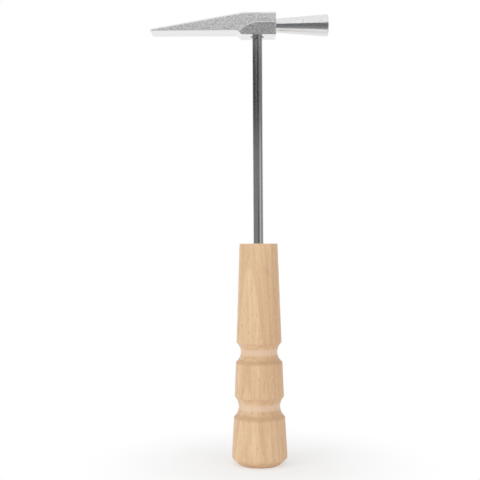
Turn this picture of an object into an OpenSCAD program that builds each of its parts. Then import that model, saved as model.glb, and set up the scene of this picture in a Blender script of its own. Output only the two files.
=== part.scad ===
// Kalimba tuning hammer: a cast head on a thin steel rod, in a turned wooden handle.
// Millimetres. +Z runs up the rod, the wedge points to -X and the striker to +X.
// The origin is the centre of the handle's flat butt.

/* [Handle] */
// Length of the handle, from the flat butt to the top
handle_l = 85; // [75:0.5:120]
// Diameter at the top of the handle
handle_top_d = 14.7; // [12:0.1:17]
// Diameter of the grip at the upper finger groove, before the groove is cut
upper_grip_d = 17.7; // [16:0.1:21]
// Diameter of the grip at the lower finger groove, before the groove is cut
lower_grip_d = 19.3; // [17:0.1:23]
// Largest diameter, at the shoulder above the butt
butt_d = 21.5; // [18:0.1:26]
// Height of the bevel round the butt
bevel_h = 2.6; // [1:0.1:4]
// Width of the bevel round the butt, seen from below
bevel_w = 2.8; // [1:0.1:4]
// Radius that softens the shoulder above the bevel
shoulder_r = 1.5; // [0.2:0.1:2.5]
// Radius that breaks the edges of the butt and the top
edge_r = 0.4; // [0.1:0.05:0.8]

/* [Finger grooves] */
// Height of the upper groove's middle above the butt
upper_groove_z = 43.2; // [36:0.1:55]
// Radius of the cutter that turned the upper groove
upper_groove_r = 4.9; // [3.5:0.1:7]
// Depth of the upper groove
upper_groove_depth = 1.8; // [0.5:0.05:2.5]
// Height of the lower groove's middle above the butt
lower_groove_z = 22.3; // [16:0.1:26]
// Radius of the cutter that turned the lower groove
lower_groove_r = 5.5; // [3.5:0.1:7]
// Depth of the lower groove
lower_groove_depth = 1.65; // [0.5:0.05:2.5]

/* [Shaft] */
// Diameter of the rod
rod_d = 4; // [3:0.1:5]
// Length of rod that shows between the handle and the head
rod_free_l = 80; // [60:0.5:110]
// Length of the rod's tail inside the handle
tail_l = 48; // [32:0.5:60]
// Length of the rod's top end inside the head
spigot_l = 6; // [5:0.1:6.5]
// Chamfer on both ends of the rod
rod_chamfer = 0.4; // [0.1:0.05:0.8]
// Number of ridges in the straight knurl on the top end
knurl_count = 24; // [12:1:36]
// Depth of the knurl
knurl_depth = 0.15; // [0.05:0.01:0.25]
// Length of the knurl
knurl_l = 4; // [2:0.1:4.5]
// Number of ring grooves that key the tail in its glue
key_count = 3; // [1:1:4]
// Width of a ring groove
key_w = 2; // [1:0.1:3]
// Depth of a ring groove
key_depth = 0.3; // [0.1:0.05:0.6]
// Distance from one ring groove to the next
key_pitch = 10; // [6:0.5:12]

/* [Glue joint] */
// Thickness of the glue round the rod's tail
glue_t = 0.5; // [0.2:0.05:1]
// Depth of the glue plug under the rod's tail
glue_plug = 1; // [0.5:0.1:3]
// Distance of the glue's top below the top of the handle
glue_top_gap = 0.3; // [0.1:0.05:1]

/* [Head block] */
// Height of the block
block_h = 8.7; // [8:0.1:11]
// Width of the head at its parting line
head_w = 10.3; // [8:0.1:14]
// Distance from the rod's axis to the block's face under the striker
block_front = 7.15; // [5:0.05:10]
// Distance from the rod's axis to the underside's corner on the wedge side
block_back = 6.15; // [4.5:0.05:9]
// Height of the parting line above the underside
parting_h = 4.5; // [3.5:0.1:5.5]
// Draft of the faces above the parting line, in degrees
draft_up = 2.5; // [1:0.5:5]
// Draft of the faces below the parting line, in degrees
draft_down = 4; // [1:0.5:6]
// Length over which the parting line runs down to the wedge
parting_run = 6.8; // [4:0.1:9]
// Radius of the head's upper edges
upper_edge_r = 0.75; // [0.2:0.05:1.2]
// Radius of the head's lower edges
lower_edge_r = 0.3; // [0.1:0.05:0.6]

/* [Wedge] */
// Distance from the rod's axis to the wedge's tip
wedge_reach = 41; // [30:0.5:55]
// Height of the wedge's underside above the block's
wedge_rise = 1.55; // [0.8:0.05:2.5]
// Thickness of the wedge's tip
tip_t = 0.85; // [0.5:0.05:1.5]
// Distance from the rod's axis to where the wedge's top falls away
wedge_start = 5.3; // [2:0.1:8]
// Radius of the bend between the block's top and the wedge's top
wedge_bend_r = 27; // [5:1:35]
// Length of the slanted step from the block's underside to the wedge's
step_l = 1.65; // [0.8:0.05:3]
// Radius of the hollow at the top of the slanted step
step_r = 0.8; // [0.2:0.05:1.2]

/* [Striker] */
// Distance from the rod's axis to the striking face
striker_reach = 27.3; // [20:0.1:35]
// Height of the striker's axis above the block's underside
striker_h = 4.4; // [4:0.1:5]
// Length of the plain collar next to the block
collar_l = 0.95; // [0.5:0.05:2]
// Diameter of the collar
collar_d = 5.25; // [4:0.05:6.5]
// Diameter of the cone at the collar
cone_neck_d = 5.5; // [4:0.05:7]
// Diameter of the striking face
face_d = 8.5; // [7:0.1:9.5]
// Radius that breaks the striking face's edge
face_edge_r = 0.3; // [0.1:0.05:0.6]

/* [Fits] */
// Radial clearance of the rod's top end in the head's bore
spigot_clearance = 0.01; // [0.01:0.01:0.05]
// Clearance that parts the cured glue from the rod and the bore
glue_clearance = 0.01; // [0.01:0.01:0.05]
// Width of the countersink at the mouth of the head's bore
countersink_w = 0.5; // [0.2:0.05:1]
// Depth of the air space above the rod's top end in the head
air_space = 0.3; // [0.1:0.05:0.6]
// Included angle of the drills that made the blind bores
drill_angle = 118; // [100:1:140]

/* [Hidden] */
$fn = 96;

// Points in a rounded corner of an outline
CORNER_STEPS = 8;
// Extra length of a cutting solid past the face that it opens
CUT = 1;
// Margin by which a bounding solid stands outside the casting
MARGIN = 10;

rod_r = rod_d / 2;
head_z = handle_l + rod_free_l;
rod_foot_z = handle_l - tail_l;
rod_top_z = head_z + spigot_l;
bore_foot_z = rod_foot_z - glue_plug;
handle_bore_r = rod_r + glue_t;
head_bore_r = rod_r + spigot_clearance;

parting_z = head_z + parting_h;
head_top_z = head_z + block_h;
half_w = head_w / 2;
top_half_w = half_w - (block_h - parting_h) * tan(draft_up);
wedge_angle = atan((block_h - wedge_rise - tip_t) / (wedge_reach - wedge_start));
parting_start_x = parting_run - block_back - lower_edge_r;
flare = (parting_h - wedge_rise) * (tan(draft_up) + tan(draft_down));
flare_r = (parting_run * parting_run + flare * flare) / (2 * flare);

// Unit vector along v
function unit(v) = v / norm(v);

// Arc that rounds corner b between a and c with radius r: it touches both sides
function rounded(a, b, c, r) =
    let(
        u = unit(a - b),
        w = unit(c - b),
        half = acos(u * w) / 2,
        reach = r / tan(half),
        centre = b + unit(u + w) * r / sin(half),
        from = b + u * reach - centre,
        to = b + w * reach - centre,
        turn = acos(min(1, max(-1, from * to / (r * r)))),
        side = sign(from[0] * to[1] - from[1] * to[0])
    )
    [
        for (i = [0 : CORNER_STEPS])
            let(t = side * turn * i / CORNER_STEPS)
            centre + [from[0] * cos(t) - from[1] * sin(t), from[0] * sin(t) + from[1] * cos(t)]
    ];

// Outline through corners given as [x, y, radius]; a radius of 0 keeps the corner sharp
function softened(corners) =
    let(n = len(corners), p = [for (c = corners) [c[0], c[1]]])
    [
        for (i = [0 : n - 1])
            each corners[i][2] > 0
                ? rounded(p[(i + n - 1) % n], p[i], p[(i + 1) % n], corners[i][2])
                : [p[i]]
    ];

// Half outline of the handle before the grooves and the bore
module grip_outline() {
    polygon(softened([
        [0, 0, 0],
        [butt_d / 2 - bevel_w, 0, edge_r],
        [butt_d / 2, bevel_h, shoulder_r],
        [lower_grip_d / 2, lower_groove_z, 0],
        [upper_grip_d / 2, upper_groove_z, 0],
        [handle_top_d / 2, handle_l, edge_r],
        [0, handle_l, 0]
    ]));
}

// Round cutter of a finger groove, at its own height on the grip
module groove_cutter(grip_d, z, r, depth) {
    translate([grip_d / 2 - depth + r, z]) circle(r);
}

// Form that a drill leaves, point down: its wall starts at z and runs up by l
module drilled_form(r, z, l) {
    point_h = r / tan(drill_angle / 2);
    translate([0, 0, z]) cylinder(h = l, r = r);
    translate([0, 0, z - point_h]) cylinder(h = point_h, r1 = 0, r2 = r);
}

module handle() {
    color("burlywood") difference() {
        rotate_extrude() difference() {
            grip_outline();
            groove_cutter(upper_grip_d, upper_groove_z, upper_groove_r, upper_groove_depth);
            groove_cutter(lower_grip_d, lower_groove_z, lower_groove_r, lower_groove_depth);
        }
        drilled_form(handle_bore_r, bore_foot_z, handle_l - bore_foot_z + CUT);
    }
}

// Height of the lower edge of ring groove i on the rod's tail
function key_z(i) = rod_foot_z + key_pitch / 2 + i * key_pitch;

// Rings round the rod's tail: grow is 0 for the grooves, and less than 0 for the glue in them
module key_rings(grow) {
    for (i = [0 : key_count - 1])
        translate([0, 0, key_z(i) - grow]) difference() {
            cylinder(h = key_w + 2 * grow, r = rod_r + glue_t / 2);
            translate([0, 0, -CUT]) cylinder(h = key_w + 2 * CUT, r = rod_r - key_depth - grow);
        }
}

// Straight knurl: ridges whose crests lie on the rod's own surface
module knurl() {
    linear_extrude(knurl_l) polygon([
        for (i = [0 : 2 * knurl_count - 1])
            let(r = rod_r - (i % 2) * knurl_depth, a = 180 * i / knurl_count)
            [r * cos(a), r * sin(a)]
    ]);
}

// Plain round rod with both ends chamfered
module round_rod() {
    rod_l = rod_top_z - rod_foot_z;
    translate([0, 0, rod_foot_z]) rotate_extrude() polygon([
        [0, 0],
        [rod_r - rod_chamfer, 0],
        [rod_r, rod_chamfer],
        [rod_r, rod_l - rod_chamfer],
        [rod_r - rod_chamfer, rod_l],
        [0, rod_l]
    ]);
}

module shaft() {
    knurl_z = rod_top_z - rod_chamfer - knurl_l;
    color("lightgray") union() {
        difference() {
            round_rod();
            key_rings(0);
            translate([0, 0, knurl_z]) difference() {
                cylinder(h = knurl_l, r = rod_r + CUT);
                translate([0, 0, -CUT]) cylinder(h = knurl_l + 2 * CUT, r = rod_r - knurl_depth);
            }
        }
        translate([0, 0, knurl_z]) knurl();
    }
}

module handle_glue() {
    glue_r = handle_bore_r - glue_clearance;
    top_z = handle_l - glue_top_gap;
    color("khaki") union() {
        difference() {
            drilled_form(glue_r, bore_foot_z + glue_clearance, top_z - bore_foot_z - glue_clearance);
            translate([0, 0, rod_foot_z - glue_clearance])
                cylinder(h = tail_l + CUT, r = rod_r + glue_clearance);
        }
        key_rings(-glue_clearance);
    }
}

// Side view of the block and the wedge, x and height above the underside
module side_outline() {
    polygon(softened([
        [block_front, 0, lower_edge_r],
        [block_front, block_h, upper_edge_r],
        [-wedge_start, block_h, wedge_bend_r],
        [-wedge_reach, wedge_rise + tip_t, tip_t / 3],
        [-wedge_reach, wedge_rise, tip_t / 4],
        [-block_back - step_l, wedge_rise, step_r],
        [-block_back, 0, lower_edge_r]
    ]));
}

// Cross-section above the parting line, measured down from the top face, with rounded top edges.
// It keeps widening below the parting line, where the lower faces take over.
module upper_section() {
    foot = block_h + MARGIN;
    foot_half_w = top_half_w + foot * tan(draft_up);
    polygon(softened([
        [-foot_half_w, -foot, 0],
        [foot_half_w, -foot, 0],
        [top_half_w, 0, upper_edge_r],
        [-top_half_w, 0, upper_edge_r]
    ]));
}

// The upper section swept towards +X, from x = 0 to x = l
module section_sweep(l) {
    rotate([90, 0, 90]) linear_extrude(l) upper_section();
}

// Half-space on the striker's side of the plane that splits the bend of the top in two
module bend_side(side) {
    big = wedge_reach + striker_reach;
    rotate([0, -wedge_angle / 2, 0]) translate([side > 0 ? 0 : -big, -big / 2, -big / 2]) cube(big);
}

// Upper faces of the block and, turned down by the wedge's angle, those of the wedge
module upper_faces() {
    translate([-wedge_start, 0, head_top_z]) {
        intersection() {
            translate([-MARGIN, 0, 0]) section_sweep(wedge_start + block_front + 2 * MARGIN);
            bend_side(1);
        }
        intersection() {
            rotate([0, -wedge_angle, 0]) translate([-wedge_reach, 0, 0]) section_sweep(wedge_reach + MARGIN);
            bend_side(-1);
        }
    }
}

// Plan of the +Y side above the parting line, with the upright edge beside the striker rounded
module upper_plan() {
    far = wedge_reach + MARGIN;
    polygon(softened([
        [-far, -far, 0],
        [block_front, -far, 0],
        [block_front, half_w, upper_edge_r],
        [-far, half_w, 0]
    ]));
}

// Plan of the +Y side below the parting line: straight along the block, then an arc outwards
// that carries the parting line down to the wedge
module lower_plan() {
    far = wedge_reach + MARGIN;
    difference() {
        union() {
            upper_plan();
            translate([-far, 0]) square([far + parting_start_x, half_w + far]);
        }
        translate([parting_start_x, half_w + flare_r]) circle(flare_r, $fn = 720);
    }
}

// Prism with the plan of its child, leaning about the parting line by the draft.
// A negative draft narrows it downwards.
module drafted_side(draft) {
    h = 2 * (block_h + MARGIN);
    translate([0, half_w, parting_z]) rotate([draft, 0, 0]) translate([0, -half_w, -h / 2])
        linear_extrude(h) children();
}

// Block and wedge, still without the bore
module head_body() {
    intersection() {
        translate([0, head_w, head_z]) rotate([90, 0, 0]) linear_extrude(2 * head_w) side_outline();
        upper_faces();
        drafted_side(draft_up) upper_plan();
        drafted_side(-draft_down) lower_plan();
        mirror([0, 1, 0]) drafted_side(draft_up) upper_plan();
        mirror([0, 1, 0]) drafted_side(-draft_down) lower_plan();
    }
}

// Collar and flared cone, turned about the striker's own axis; they start inside the block
module striker() {
    root = block_front / 2;
    translate([0, 0, head_z + striker_h]) rotate([0, 90, 0]) rotate_extrude() polygon(softened([
        [0, root, 0],
        [collar_d / 2, root, 0],
        [collar_d / 2, block_front + collar_l, 0],
        [cone_neck_d / 2, block_front + collar_l, 0],
        [face_d / 2, striker_reach, face_edge_r],
        [0, striker_reach, 0]
    ]));
}

module head() {
    bore_l = spigot_l + air_space;
    color("silver") difference() {
        union() {
            head_body();
            striker();
        }
        translate([0, 0, head_z + bore_l]) mirror([0, 0, 1]) drilled_form(head_bore_r, 0, bore_l + CUT);
        translate([0, 0, head_z - CUT])
            cylinder(h = countersink_w + CUT, r1 = head_bore_r + countersink_w + CUT, r2 = head_bore_r);
    }
}

head();
shaft();
handle();
handle_glue();
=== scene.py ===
# %% [markdown]
# # A kalimba tuning hammer
# The hammer has three parts that show. A die-cast, plated head carries a long wedge and a flared round
# striker. A thin chromed rod holds it, and a turned beech handle with two finger grooves holds the rod.
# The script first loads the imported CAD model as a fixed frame. Everything after that is in metres in the
# same frame: the origin is the middle of the handle's butt, +Z runs up the rod and +X out of the striker.

# %% The frame
import math

import bpy
import numpy as np
from mathutils import Matrix, Vector

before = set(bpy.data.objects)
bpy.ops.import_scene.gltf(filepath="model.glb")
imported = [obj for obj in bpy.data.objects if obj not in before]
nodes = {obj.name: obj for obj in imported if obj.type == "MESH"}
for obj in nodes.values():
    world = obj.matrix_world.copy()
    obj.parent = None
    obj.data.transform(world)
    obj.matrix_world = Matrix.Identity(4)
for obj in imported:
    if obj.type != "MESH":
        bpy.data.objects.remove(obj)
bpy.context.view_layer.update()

MM = 0.001
print("CAD nodes:", sorted(nodes))

# %% [markdown]
# ## The camera
# The picture was taken level with the top of the handle and from quite near, so the camera looks slightly
# up at the head and down on the butt. The curves of the turned edges give the distance. The lens is long
# for that distance, and the hammer stands a little right of the middle and leans by a third of a degree.
# Moving the camera sideways and rolling it does this without touching the hammer.

# %% The camera
PICTURE_PX = 480
LENS_PX = 900
PITCH_PX = 4
SENSOR_MM = 36
NEAREST_SEEN = 10 * MM
camera_away = 348.3 * MM
camera_side = -7.15 * MM
camera_height = 84.9 * MM
pitch_up = math.atan(PITCH_PX / LENS_PX)
roll = math.radians(0.33)

camera = bpy.data.objects.new("camera", bpy.data.cameras.new("camera"))
bpy.context.scene.collection.objects.link(camera)
camera.data.sensor_width = SENSOR_MM
camera.data.lens = SENSOR_MM * LENS_PX / PICTURE_PX
camera.data.clip_start = NEAREST_SEEN
camera.matrix_world = (
    Matrix.Translation((camera_side, -camera_away, camera_height))
    @ Matrix.Rotation(math.pi / 2 + pitch_up, 4, "X")
    @ Matrix.Rotation(-roll, 4, "Z")
)
bpy.context.scene.camera = camera
print("lens", camera.data.lens, "mm")

# %% [markdown]
# ## Node trees from code
# A material is a small network of nodes. The first helper adds one node, sets its properties, and fills its
# inputs with numbers or with the outputs of other nodes. The others name the steps that come back in every
# finish: a pattern, a smooth step, a mix of two colours and a bump.


# %% Node helpers
def add(tree, kind, inputs=None, **settings):
    """Adds a node of that kind. An input is a plain value or another node's output."""
    node = tree.nodes.new(kind)
    for key, value in settings.items():
        setattr(node, key, value)
    for key, value in (inputs or {}).items():
        if isinstance(value, bpy.types.NodeSocket):
            tree.links.new(value, node.inputs[key])
        else:
            node.inputs[key].default_value = value
    return node


def maths(tree, operation, *values):
    """Output of a Math node on up to three values."""
    return add(tree, "ShaderNodeMath", dict(enumerate(values)), operation=operation).outputs[0]


def times(tree, first, second):
    """The product of two values."""
    return maths(tree, "MULTIPLY", first, second)


def rest_of(tree, share):
    """What a share leaves of 1."""
    return maths(tree, "SUBTRACT", 1.0, share)


def apart(tree, value, line):
    """How far a value is from a line, on either side."""
    return maths(tree, "ABSOLUTE", maths(tree, "SUBTRACT", value, line))


def blend(tree, share, first, second):
    """first where share is 0 and second where it is 1."""
    return maths(tree, "MULTIPLY_ADD", share, maths(tree, "SUBTRACT", second, first), first)


def vectors(tree, operation, *values):
    """Outputs of a Vector Math node on up to two vectors."""
    return add(tree, "ShaderNodeVectorMath", dict(enumerate(values)), operation=operation).outputs


def from_axis(tree, place):
    """Distance of a place from the upright axis."""
    level = vectors(tree, "MULTIPLY", place, (1, 1, 0))[0]
    return vectors(tree, "LENGTH", level)["Value"]


def in_object(tree):
    """A point's place in the object's own coordinates."""
    return add(tree, "ShaderNodeTexCoord").outputs["Object"]


def split(tree, vector):
    """The X, Y and Z of a vector."""
    return add(tree, "ShaderNodeSeparateXYZ", {0: vector}).outputs


def noise(tree, place, cells, detail=2.0, roughness=0.5):
    """Noise from 0 to 1 with that many cells per metre along X, Y and Z."""
    stretched = add(tree, "ShaderNodeMapping", {"Vector": place, "Scale": cells})
    settings = {"Vector": stretched.outputs[0], "Scale": 1.0, "Detail": detail, "Roughness": roughness}
    return add(tree, "ShaderNodeTexNoise", settings).outputs[0]


def ramp(tree, value, low, high, to_low=0.0, to_high=1.0):
    """A smooth step: to_low below low, to_high above high."""
    inputs = {"Value": value, "From Min": low, "From Max": high, "To Min": to_low, "To Max": to_high}
    return add(tree, "ShaderNodeMapRange", inputs, interpolation_type="SMOOTHSTEP").outputs[0]


def tint(tree, share, colour, other):
    """A mix of two colours, each a plain colour or another node's output."""
    node = tree.nodes.new("ShaderNodeMix")
    node.data_type = "RGBA"
    tree.links.new(share, node.inputs[0])
    for socket, value in ((node.inputs[6], colour), (node.inputs[7], other)):
        if isinstance(value, bpy.types.NodeSocket):
            tree.links.new(value, socket)
        else:
            socket.default_value = (*value, 1)
    return node.outputs[2]


def bump(tree, height, distance, strength=1.0, under=None):
    """A bump of that height in metres, on top of another bump's normal where one is given."""
    inputs = {"Height": height, "Distance": distance, "Strength": strength}
    if under is not None:
        inputs["Normal"] = under
    return add(tree, "ShaderNodeBump", inputs).outputs[0]


def new_tree(name):
    """A new material's empty node tree, with the material."""
    material = bpy.data.materials.new(name)
    material.use_nodes = True
    material.node_tree.nodes.clear()
    return material, material.node_tree


def surface(tree, shader):
    """Ends a material with that shader."""
    add(tree, "ShaderNodeOutputMaterial", {"Surface": shader.outputs[0]})


def coat_piece(piece, material, finish):
    """Ends a material with that finish and puts it on a whole piece."""
    tree = material.node_tree
    surface(tree, add(tree, "ShaderNodeBsdfPrincipled", finish))
    for slot in piece.material_slots:
        slot.material = material


def seen_directly(tree):
    """1 for camera, mirror and glass rays, and 0 for the rays that carry light to matt surfaces."""
    path = add(tree, "ShaderNodeLightPath").outputs
    shiny = maths(tree, "MAXIMUM", path["Is Glossy Ray"], path["Is Transmission Ray"])
    return maths(tree, "MAXIMUM", path["Is Camera Ray"], shiny)


def new_object(name, points, faces, material):
    """A mesh object from its points and faces, in one finish."""
    mesh = bpy.data.meshes.new(name)
    mesh.from_pydata(points.tolist(), [], faces)
    mesh.materials.append(material)
    ob = bpy.data.objects.new(name, mesh)
    bpy.context.scene.collection.objects.link(ob)
    return ob


# %% [markdown]
# ## The light tent
# Small shiny things are photographed in a light tent: white cloth on all sides, with a dark opening that
# the camera looks through. Metal has no colour of its own to speak of, so what it shows is the tent. The
# world is the white cloth. It is plain white where it is looked at, and weaker where it only lights the
# hammer, because the lamps add the rest. That light is weakest overhead, so the upper side of a groove's
# lower edge stays a little darker, as on the real handle.

# %% The tent
PLAIN_WHITE = (1, 1, 1, 1)
TENT_WHITE = 1.0
HORIZON_LIGHT = 0.8
OVERHEAD_LIGHT = 0.3

world = bpy.data.worlds.new("light_tent")
bpy.context.scene.world = world
world.use_nodes = True
tree = world.node_tree
tree.nodes.clear()
seen = seen_directly(tree)
direction = add(tree, "ShaderNodeTexCoord").outputs["Generated"]
overhead = maths(tree, "MAXIMUM", split(tree, direction)["Z"], 0.0)
light = maths(tree, "MULTIPLY_ADD", overhead, OVERHEAD_LIGHT - HORIZON_LIGHT, HORIZON_LIGHT)
lit = times(tree, light, rest_of(tree, seen))
strength = maths(tree, "MULTIPLY_ADD", seen, TENT_WHITE, lit)
cloth = add(tree, "ShaderNodeBackground", {"Color": PLAIN_WHITE, "Strength": strength})
add(tree, "ShaderNodeOutputWorld", {"Surface": cloth.outputs[0]})
bpy.context.scene.view_settings.view_transform = "Standard"
print("light from the tent:", HORIZON_LIGHT, "level and", OVERHEAD_LIGHT, "overhead")

# %% [markdown]
# ## The floor
# The sheet under the hammer is the same white cloth. A real matt sheet would end in grey, so this one turns
# into plain white away from the butt. At the butt half of the matt cloth is left, with half of its shadow.

# %% The floor
FLOOR_HALF = 4.0
FLOOR_CLOTH = (0.97, 0.97, 0.97, 1)
WHITE_AT_BUTT = 0.5
fade_from = 6 * MM
fade_to = 75 * MM

corners = np.array([(-1, -1, 0), (1, -1, 0), (1, 1, 0), (-1, 1, 0)]) * FLOOR_HALF
white_floor, tree = new_tree("white_floor")
away = vectors(tree, "LENGTH", in_object(tree))["Value"]
fade = ramp(tree, away, fade_from, fade_to, WHITE_AT_BUTT)
matt = add(tree, "ShaderNodeBsdfDiffuse", {"Color": FLOOR_CLOTH})
white = add(tree, "ShaderNodeEmission", {"Color": PLAIN_WHITE, "Strength": TENT_WHITE})
share = times(tree, fade, seen_directly(tree))
surface(tree, add(tree, "ShaderNodeMixShader", {0: share, 1: matt.outputs[0], 2: white.outputs[0]}))
floor = new_object("floor", corners, [(0, 1, 2, 3)], white_floor)
print("floor plain white beyond", fade_to / MM, "mm")

# %% [markdown]
# ## The lamps
# Two softboxes light the hammer from the front, the left one stronger, and a third lights it from above.
# They light only matt surfaces. Metal shows the tent and its opening instead of three square lamps.

# %% The lamps
MIDDLE = (0, 0, 90 * MM)
SOFTBOXES = {
    "left_softbox": {"place": (-0.6, -0.5, 0.2), "size": 0.5, "power": 2.1},
    "right_softbox": {"place": (0.6, -0.5, 0.2), "size": 0.5, "power": 1.35},
    "top_softbox": {"place": (-0.1, 0.0, 1.0), "size": 0.6, "power": 2.4},
}


def softbox(name, place, size, power):
    """A square lamp at place that shines towards the hammer's middle and that metal doesn't show."""
    lamp = bpy.data.lights.new(name, "AREA")
    lamp.size = size
    lamp.energy = power
    ob = bpy.data.objects.new(name, lamp)
    bpy.context.scene.collection.objects.link(ob)
    ob.location = place
    ob.rotation_euler = (Vector(MIDDLE) - Vector(place)).to_track_quat("-Z", "Y").to_euler()
    ob.visible_camera = False
    ob.visible_glossy = False


for name, settings in SOFTBOXES.items():
    softbox(name, **settings)

# %% [markdown]
# ## The dark opening
# Chrome needs something dark to show, or it vanishes into the white. Here that is the tent's opening: a
# curved card in front of the hammer, dark at the height that the rod's upper half mirrors, and greyer
# below, with the camera's own dark shape in it. Its foot runs in over the floor as an apron. Only mirror
# and glass rays see it, so that the other sides keep a plain background and the wood its even light.

# %% The opening's shape
RIM_POINTS = 65
opening_away = 330 * MM
opening_foot = 1 * MM
opening_top = 256 * MM
opening_from = -130
opening_to = 115
apron = 0.3

turn = np.radians(np.linspace(opening_from, opening_to, RIM_POINTS))
rim = np.stack([opening_away * np.sin(turn), -opening_away * np.cos(turn), 0 * turn], axis=1)
foot = (0, 0, opening_foot)
grid = np.concatenate([rim * (apron, apron, 1) + foot, rim + foot, rim + (0, 0, opening_top)])
start = (np.arange(2)[:, None] * len(rim) + np.arange(len(rim) - 1)).ravel()
faces = np.stack([start, start + 1, start + 1 + len(rim), start + len(rim)], axis=1)
print("opening:", len(faces), "faces,", opening_top / MM, "mm high")

# %% The opening's tones
DARK_ROOM = 0.05
GREY_ROOM = 0.3
SIDE_ROOM = 0.24
STRIPE_BRIGHT = 0.72
STRIPE_DIM = 0.34
CARD_LEVEL = 0.8
APRON_TONE = 0.8
CAMERA_SHADE = 0.88
grey_below = 150 * MM
dark_above = 192 * MM
side_from = math.radians(30)
side_full = math.radians(38)
stripe_to = math.radians(60)
stripe_gone = math.radians(68)
body_azimuth = math.radians(6)
body_half_width = math.radians(9)
body_level = 84 * MM
body_half_height = 32 * MM
apron_to = 100 * MM
room_from = 160 * MM

dark_room, tree = new_tree("dark_room")
place = in_object(tree)
spot = split(tree, place)
azimuth = maths(tree, "ARCTAN2", spot["X"], times(tree, spot["Y"], -1.0))
low_down = ramp(tree, spot["Z"], grey_below, dark_above, 1.0, 0.0)
room = blend(tree, low_down, DARK_ROOM, GREY_ROOM)
stripe = ramp(tree, azimuth, stripe_to, stripe_gone, STRIPE_BRIGHT, STRIPE_DIM)
side = blend(tree, low_down, SIDE_ROOM, stripe)
tone = blend(tree, ramp(tree, azimuth, side_from, side_full), room, side)
on_its_side = maths(tree, "LESS_THAN", apart(tree, azimuth, body_azimuth), body_half_width)
at_its_height = maths(tree, "LESS_THAN", apart(tree, spot["Z"], body_level), body_half_height)
body = times(tree, on_its_side, at_its_height)
tone = times(tree, tone, maths(tree, "MULTIPLY_ADD", body, -CAMERA_SHADE, 1.0))
on_apron = ramp(tree, from_axis(tree, place), apron_to, room_from, 1.0, 0.0)
strength = blend(tree, on_apron, times(tree, tone, CARD_LEVEL), APRON_TONE)
surface(tree, add(tree, "ShaderNodeEmission", {"Color": PLAIN_WHITE, "Strength": strength}))
opening = new_object("dark_opening", grid, faces.tolist(), dark_room)
opening.visible_camera = False
opening.visible_diffuse = False
opening.visible_shadow = False
print("opening:", DARK_ROOM, "above and", GREY_ROOM, "below")

# %% [markdown]
# ## Turned beech
# Beech is pale and warm. A turned handle cuts through its growth rings, so they show as long faint lines,
# with short dark flecks where the wood's rays end at the surface. The pattern fills the wood as a solid,
# in Object coordinates, so the same rings reach the end grain at the top and the butt. A picture wrapped
# round the handle could not do that. Each finger groove has a painted highlight along its middle and
# painted shade along its lower edge.

# %% Beech: rings and fibres
PALE_WOOD = (0.85, 0.61, 0.385)
WARM_WOOD = (0.74, 0.485, 0.285)
LATE_WOOD = (0.63, 0.375, 0.2)
FIBRE_BROWN = (0.62, 0.375, 0.2)
RING_LEAN = 0.02
RING_WANDER = 1.8
LATE_SHARE = 0.34
FIBRE_SHARE = 0.38
WANDER_CELLS = (45, 45, 7)
FIBRE_CELLS = (1700, 1700, 26)
BROAD_CELLS = (130, 90, 9)
BROAD_SHOWS = (0.3, 0.7)
FIBRE_SHOWS = (0.44, 0.66)
ring_pitch = 2.1 * MM
pith = (16 * MM, 26 * MM, 0)
late_from, late_full = 0.35, 0.9
year_ends, year_drops = 1.0, 0.93

wood, tree = new_tree("turned_beech")
place = in_object(tree)
wander = noise(tree, place, WANDER_CELLS)
from_pith = vectors(tree, "SUBTRACT", place, pith)[0]
leaning = vectors(tree, "MULTIPLY", from_pith, (1, 1, RING_LEAN))[0]
radius = vectors(tree, "LENGTH", leaning)["Value"]
rings = maths(tree, "MULTIPLY_ADD", radius, 1 / ring_pitch, times(tree, wander, RING_WANDER))
year = maths(tree, "FRACT", rings)
late_wood = times(tree, ramp(tree, year, late_from, late_full), ramp(tree, year, year_ends, year_drops))
fibres = noise(tree, place, FIBRE_CELLS, detail=3, roughness=0.7)
broad = noise(tree, place, BROAD_CELLS)
colour = tint(tree, ramp(tree, broad, *BROAD_SHOWS), PALE_WOOD, WARM_WOOD)
colour = tint(tree, times(tree, late_wood, LATE_SHARE), colour, LATE_WOOD)
colour = tint(tree, ramp(tree, fibres, *FIBRE_SHOWS, 0.0, FIBRE_SHARE), colour, FIBRE_BROWN)
print("rings every", ring_pitch / MM, "mm")

# %% Beech: marks and grooves
RAY_BROWN = (0.46, 0.27, 0.14)
PORE_BROWN = (0.38, 0.22, 0.12)
SPOT_CREAM = (0.9, 0.7, 0.46)
MARKS = {
    "ray_flecks": {"cells": (1900, 1900, 420), "shows": (0.64, 0.72), "share": 0.42, "stain": RAY_BROWN},
    "pores": {"cells": (5200, 5200, 700), "shows": (0.64, 0.72), "share": 0.3, "stain": PORE_BROWN},
    "pale_spots": {"cells": (1300, 1300, 420), "shows": (0.62, 0.74), "share": 0.22, "stain": SPOT_CREAM},
}
# Colours for the painted shade at each groove's lower edge and the painted highlight in its middle.
GROOVE_SHADE_BROWN = (0.56, 0.34, 0.19)
GROOVE_HIGHLIGHT_CREAM = (0.88, 0.68, 0.52)
GROOVE_SHARE = 0.5
groove_middles = (43.4 * MM, 22.5 * MM)
groove_edges = (39.7 * MM, 18.7 * MM)
shade_wide, shade_core = 1.5 * MM, 0.2 * MM
highlight_wide, highlight_core = 1.9 * MM, 0.5 * MM

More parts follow.
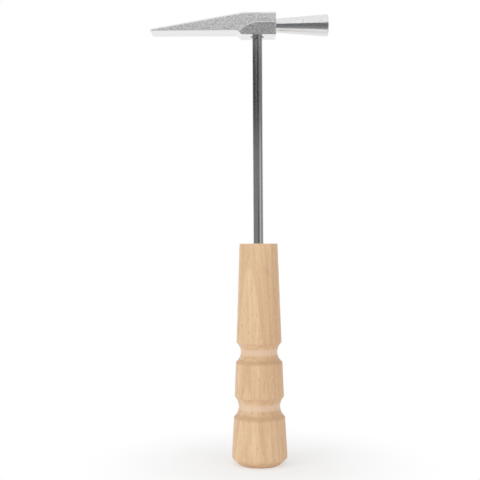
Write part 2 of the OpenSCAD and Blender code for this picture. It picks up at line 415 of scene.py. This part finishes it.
marks = {}
for name, mark in MARKS.items():
    marks[name] = ramp(tree, noise(tree, place, mark["cells"], detail=1), *mark["shows"])
    colour = tint(tree, times(tree, marks[name], mark["share"]), colour, mark["stain"])
up = split(tree, place)["Z"]
for middle, edge in zip(groove_middles, groove_edges):
    # Painted shade: a brown band along each groove's lower edge stands in for the shade that falls there.
    painted_groove_shade = ramp(tree, apart(tree, up, edge), shade_wide, shade_core, 0.0, GROOVE_SHARE)
    colour = tint(tree, painted_groove_shade, colour, GROOVE_SHADE_BROWN)
    # Painted highlight: a cream band along each groove's middle stands in for the soft highlight there.
    painted_groove_highlight = ramp(tree, apart(tree, up, middle), highlight_wide, highlight_core, 0.0, GROOVE_SHARE)
    colour = tint(tree, painted_groove_highlight, colour, GROOVE_HIGHLIGHT_CREAM)
print("marks:", list(marks))

# %% Beech: relief and finish
FIBRE_RELIEF = (0.03 * MM, 0.5)
PORE_RELIEF = (0.04 * MM, 0.5)
TOOL_RELIEF = (0.02 * MM, 0.35)
TOOL_CELLS = (40, 40, 2600)
WOOD_WORN = (0.2, 0.8)
WOOD_ROUGHNESS = (0.42, 0.58)

tool_marks = noise(tree, place, TOOL_CELLS, detail=1)
relief = bump(tree, fibres, *FIBRE_RELIEF)
relief = bump(tree, rest_of(tree, marks["pores"]), *PORE_RELIEF, relief)
relief = bump(tree, tool_marks, *TOOL_RELIEF, relief)
roughness = ramp(tree, fibres, *WOOD_WORN, *WOOD_ROUGHNESS)
coat_piece(nodes["handle"], wood, {"Base Color": colour, "Roughness": roughness, "Normal": relief})
print("beech on the handle")

# %% [markdown]
# ## Chromed rod
# The rod is drawn steel with bright chrome on it. Drawing leaves hair-fine lines along the rod, which
# stretch every reflection sideways, and the chrome shows small pits and soft waves. Long thin noise as
# bump gives the lines without drawing them one by one.

# %% Chrome
BRIGHT_CHROME = (0.74, 0.75, 0.765)
PIT_GREY = (0.42, 0.43, 0.44)
PIT_SHARE = 0.5
LINE_RELIEF = (0.02 * MM, 0.4)
WAVE_RELIEF = (0.05 * MM, 0.35)
PIT_RELIEF = (0.02 * MM, 0.5)
LINE_CELLS = (2600, 2600, 9)
WAVE_CELLS = (420, 420, 90)
PIT_CELLS = (3300, 3300, 2400)
PIT_SHOWS = (0.6, 0.78)
LINE_SHOWS = (0.25, 0.75)
CHROME_ROUGHNESS = (0.12, 0.24)

chrome, tree = new_tree("drawn_chrome")
place = in_object(tree)
drawn_lines = noise(tree, place, LINE_CELLS, roughness=0.6)
waves = noise(tree, place, WAVE_CELLS, detail=1)
pits = ramp(tree, noise(tree, place, PIT_CELLS), *PIT_SHOWS)
relief = bump(tree, drawn_lines, *LINE_RELIEF)
relief = bump(tree, waves, *WAVE_RELIEF, relief)
relief = bump(tree, rest_of(tree, pits), *PIT_RELIEF, relief)
finish = {
    "Base Color": tint(tree, times(tree, pits, PIT_SHARE), BRIGHT_CHROME, PIT_GREY),
    "Metallic": 1.0,
    "Roughness": ramp(tree, drawn_lines, *LINE_SHOWS, *CHROME_ROUGHNESS),
    "Normal": relief,
}
coat_piece(nodes["shaft"], chrome, finish)
print("chrome on the rod")

# %% [markdown]
# ## Plated casting
# The head is cast in a steel die and plated. Its flanks keep the grainy skin that the die gives. The
# undersides are polished smooth, and the upper side and the striker in part. It is one metal, so one
# material holds it all, and each point takes its share of grain from the way that it faces and from
# whether it lies past the block. The striker's lower half keeps a beaten look. A low seam runs on the
# flanks where the two halves of the die met: level along the block, then down in a parabola that is close
# to the CAD model's arc. It fades on faces that look along the hammer or up and down, which are taken as
# dressed smooth.

# %% Cast skin: where each finish lies
STRIKER_POLISH = 0.55
UPPER_POLISH = 0.7
striker_from = 7.4 * MM
striker_full = striker_from + 0.2 * MM
down_from, down_full = -0.5, -0.62
up_from, up_full = 0.12, 0.4
flank_from, flank_full = 0.4, 0.7
parting_z = 169.5 * MM
run_from = 0.35 * MM
run_curve = 1 / (15.68 * MM)
seam_wide, seam_core = 0.28 * MM, 0.02 * MM

skin, tree = new_tree("plated_casting")
place = in_object(tree)
along = split(tree, place)
lies = split(tree, add(tree, "ShaderNodeNewGeometry").outputs["True Normal"])
is_striker = ramp(tree, along["X"], striker_from, striker_full)
faces_down = ramp(tree, lies["Z"], down_from, down_full)
faces_up = times(tree, ramp(tree, lies["Z"], up_from, up_full), UPPER_POLISH)
smoothed = maths(tree, "MAXIMUM", faces_up, faces_down)
polished = maths(tree, "MAXIMUM", times(tree, is_striker, STRIKER_POLISH), smoothed)
grainy = rest_of(tree, polished)
run = maths(tree, "MINIMUM", maths(tree, "SUBTRACT", along["X"], run_from), 0.0)
parting = maths(tree, "MULTIPLY_ADD", times(tree, run, run), -run_curve, parting_z)
sideways = ramp(tree, maths(tree, "ABSOLUTE", lies["Y"]), flank_from, flank_full)
seam = times(tree, ramp(tree, apart(tree, along["Z"], parting), seam_wide, seam_core), sideways)
print("seam at", parting_z / MM, "mm")

# %% Cast skin: relief
SWELL_RELIEF = (0.1 * MM, 0.25)
SEAM_RELIEF = (0.06 * MM, 0.7)
BEATEN_DEPTH = 0.1 * MM
BEATEN_TOP = 0.12
BEATEN_LOW = 0.75
GRAIN_DEPTH = 0.12 * MM
FINE_DEPTH = 0.04 * MM
GRAIN_CELLS = (1400, 1400, 1400)
FINE_CELLS = (4800, 4800, 4800)
SWELL_CELLS = (260, 260, 260)
BEATEN_CELLS = (330, 1100, 1100)
GRAIN_STRENGTH = (0.75, 0.06)  # what full grain adds, then what polished metal keeps
FINE_STRENGTH = (0.6, 0.05)
beaten_from = 169.6 * MM
beaten_full = 169.0 * MM

grain = noise(tree, place, GRAIN_CELLS, detail=3, roughness=0.65)
fine = noise(tree, place, FINE_CELLS, roughness=0.6)
swells = noise(tree, place, SWELL_CELLS, detail=1)
beaten = noise(tree, place, BEATEN_CELLS, roughness=0.6)
beaten_share = ramp(tree, along["Z"], beaten_from, beaten_full, BEATEN_TOP, BEATEN_LOW)
relief = bump(tree, swells, *SWELL_RELIEF)
relief = bump(tree, beaten, BEATEN_DEPTH, times(tree, is_striker, beaten_share), relief)
relief = bump(tree, seam, *SEAM_RELIEF, relief)
relief = bump(tree, grain, GRAIN_DEPTH, maths(tree, "MULTIPLY_ADD", grainy, *GRAIN_STRENGTH), relief)
relief = bump(tree, fine, FINE_DEPTH, maths(tree, "MULTIPLY_ADD", grainy, *FINE_STRENGTH), relief)
print("grain", GRAIN_DEPTH / MM, "mm deep")

# %% Cast skin: colour and finish
POLISHED_METAL = (0.765, 0.77, 0.775)
GRAINY_METAL = (0.93, 0.93, 0.935)
HOLLOW_GREY = (0.5, 0.5, 0.505)
# A dark grey for the painted shade round the rod where it enters the head.
RING_SHADE_GREY = (0.12, 0.12, 0.125)
RING_SHADE_SHARE = 0.85
HOLLOW_SHOWS = (0.36, 0.68)
HOLLOW_STRENGTH = (0.72, 0.05)
SKIN_ROUGHNESS = (0.25, 0.15)
ring_wide, ring_core = 2.75 * MM, 2.5 * MM
ring_above, ring_below = 166 * MM, 165.8 * MM

hollows = ramp(tree, grain, *HOLLOW_SHOWS)
tone = times(tree, hollows, maths(tree, "MULTIPLY_ADD", grainy, *HOLLOW_STRENGTH))
metal = tint(tree, grainy, POLISHED_METAL, GRAINY_METAL)
colour = tint(tree, tone, metal, HOLLOW_GREY)
# Painted shade: a dark ring round the rod at the head's underside stands in for the shadow in the
# countersink.
round_bore = ramp(tree, from_axis(tree, place), ring_wide, ring_core)
painted_ring_shade = times(tree, round_bore, ramp(tree, along["Z"], ring_above, ring_below))
finish = {
    "Base Color": tint(tree, times(tree, painted_ring_shade, RING_SHADE_SHARE), colour, RING_SHADE_GREY),
    "Metallic": 1.0,
    "Roughness": maths(tree, "MULTIPLY_ADD", grainy, *SKIN_ROUGHNESS),
    "Normal": relief,
}
coat_piece(nodes["head"], skin, finish)
print("casting skin on the head")

# %% [markdown]
# ## Cured glue
# A ring of cured epoxy shows where the rod enters the handle. It is amber, deeper in some places than in
# others, with a smooth skin that shrank a little as it set.

# %% Glue
PALE_AMBER = (0.66, 0.5, 0.24)
DEEP_AMBER = (0.5, 0.34, 0.13)
GLUE_ROUGHNESS = 0.18
GLUE_RELIEF = (0.1 * MM, 0.3)
CLOUD_CELLS = (900, 900, 900)

glue, tree = new_tree("cured_epoxy")
cloud = noise(tree, in_object(tree), CLOUD_CELLS)
finish = {
    "Base Color": tint(tree, cloud, PALE_AMBER, DEEP_AMBER),
    "Roughness": GLUE_ROUGHNESS,
    "Normal": bump(tree, cloud, *GLUE_RELIEF),
}
coat_piece(nodes["handle_glue"], glue, finish)
print("glue round the rod's tail")
